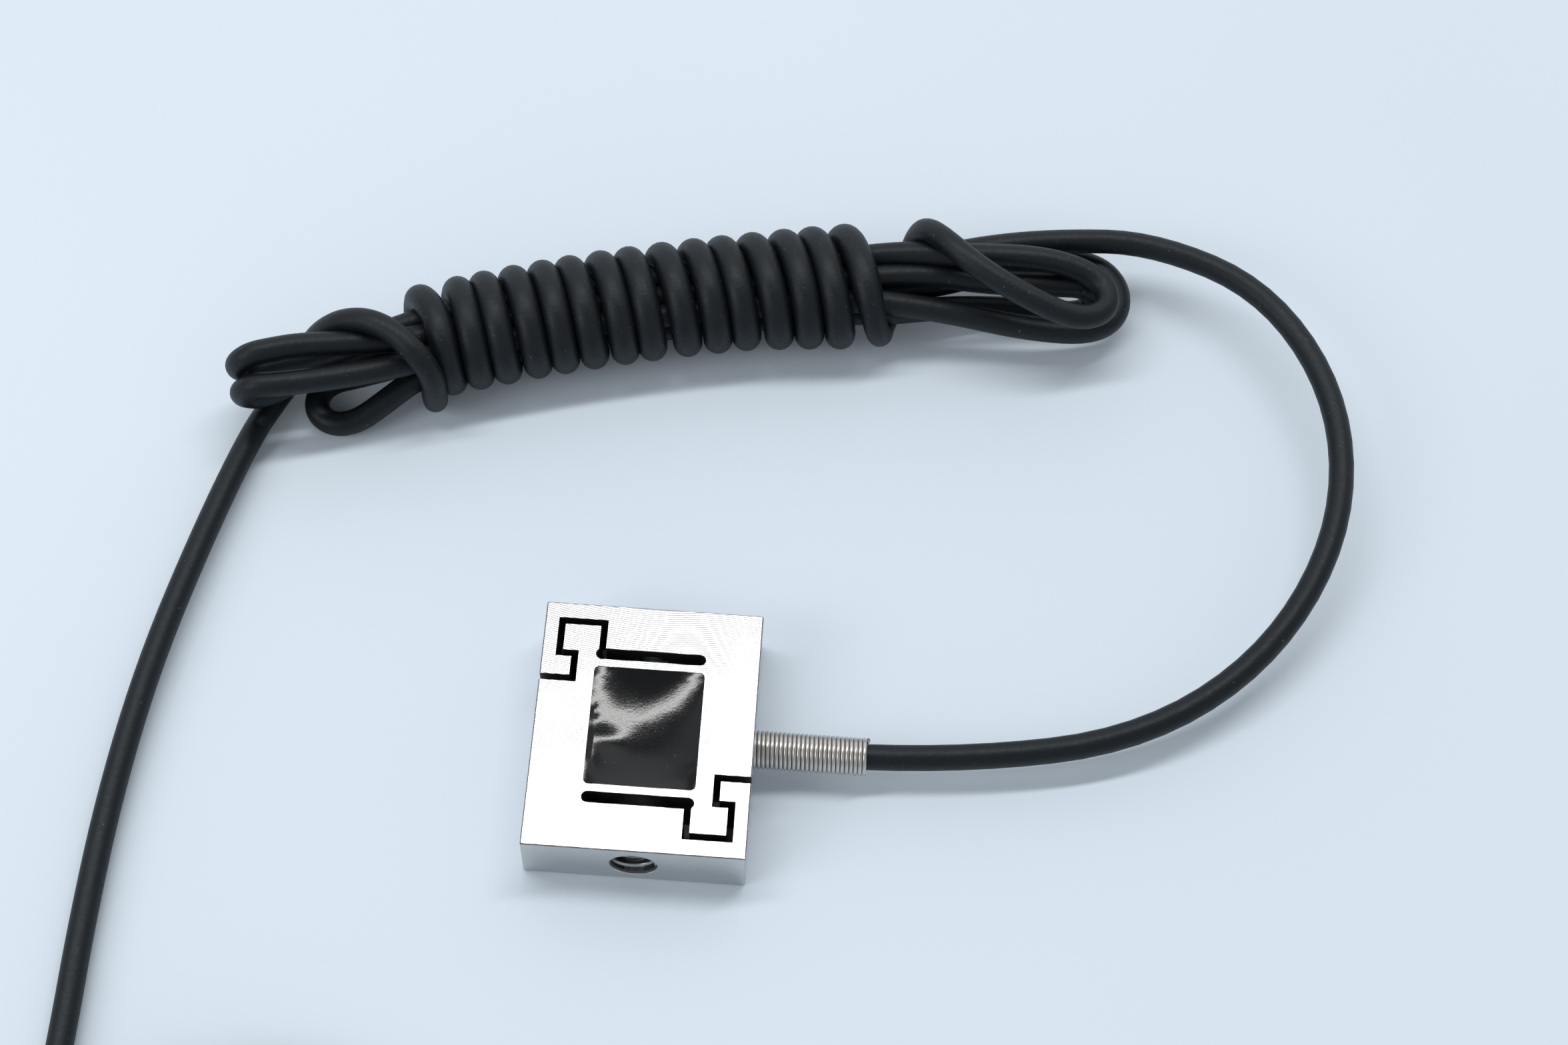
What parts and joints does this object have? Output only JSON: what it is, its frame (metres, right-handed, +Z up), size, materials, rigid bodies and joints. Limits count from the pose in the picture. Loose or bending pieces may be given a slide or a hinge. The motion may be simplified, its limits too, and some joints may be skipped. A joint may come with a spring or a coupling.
{
  "type": "s type load cell",
  "caption": "Miniature S-type load cell: a wire-cut spring body with a tapped hole in each end, a potted gauge window and a sprung strain relief with its wound-up cable.",
  "frame": {"origin": "middle of the spring body's lower large face, on which the part lies", "axes": "+X from the body's middle towards the cable exit, +Y along the load axis towards the far tapped end, +Z up through the body's thickness"},
  "size_m": [0.1161, 0.1279, 0.0113],
  "materials": {
    "body_alloy": "fly-cut large faces, satin sawn sides",
    "spring_steel": "bright drawn wire",
    "potting": "glossy cured compound",
    "board": "printed board",
    "gauge_film": "polyimide film with foil grid",
    "copper_wire": "enamelled copper",
    "tin": "tinned",
    "resistor_body": "chip resistor",
    "cable_jacket": "matte extruded jacket",
    "insulation_red": "smooth insulation",
    "insulation_black": "smooth insulation",
    "insulation_green": "smooth insulation",
    "insulation_white": "smooth insulation"
  },
  "bodies": {
    "root": {"beam_body": "body_alloy", "cable_anchored_end": "cable_jacket", "cable_coil": "cable_jacket", "cable_end": "cable_jacket", "cable_hank": "cable_jacket", "cable_lead": "cable_jacket", "cable_tail": "cable_jacket", "core_black": "insulation_black", "core_green": "insulation_green", "core_red": "insulation_red", "core_white": "insulation_white", "flying_lead_black": "insulation_black", "flying_lead_green": "insulation_green", "flying_lead_red": "insulation_red", "flying_lead_white": "insulation_white", "gauge_far_left": "gauge_film", "gauge_far_right": "gauge_film", "gauge_near_left": "gauge_film", "gauge_near_right": "gauge_film", "jumper_far_left_1": "copper_wire", "jumper_far_left_2": "copper_wire", "jumper_far_right_1": "copper_wire", "jumper_far_right_2": "copper_wire", "jumper_near_left_1": "copper_wire", "jumper_near_left_2": "copper_wire", "jumper_near_right_1": "copper_wire", "jumper_near_right_2": "copper_wire", "potting_fill": "potting", "shield_drain": "copper_wire", "solder_joint_core_black": "tin", "solder_joint_core_green": "tin", "solder_joint_core_red": "tin", "solder_joint_core_white": "tin", "solder_joint_far_left_1": "tin", "solder_joint_far_left_2": "tin", "solder_joint_far_right_1": "tin", "solder_joint_far_right_2": "tin", "solder_joint_near_left_1": "tin", "solder_joint_near_left_2": "tin", "solder_joint_near_right_1": "tin", "solder_joint_near_right_2": "tin", "solder_joint_shield_drain": "tin", "span_resistor": "resistor_body", "strain_relief_spring": "spring_steel", "terminal_board": "board", "tinned_tip_black": "tin", "tinned_tip_green": "tin", "tinned_tip_red": "tin", "tinned_tip_white": "tin", "zero_trim_resistor": "resistor_body"}
  },
  "joints": []
}
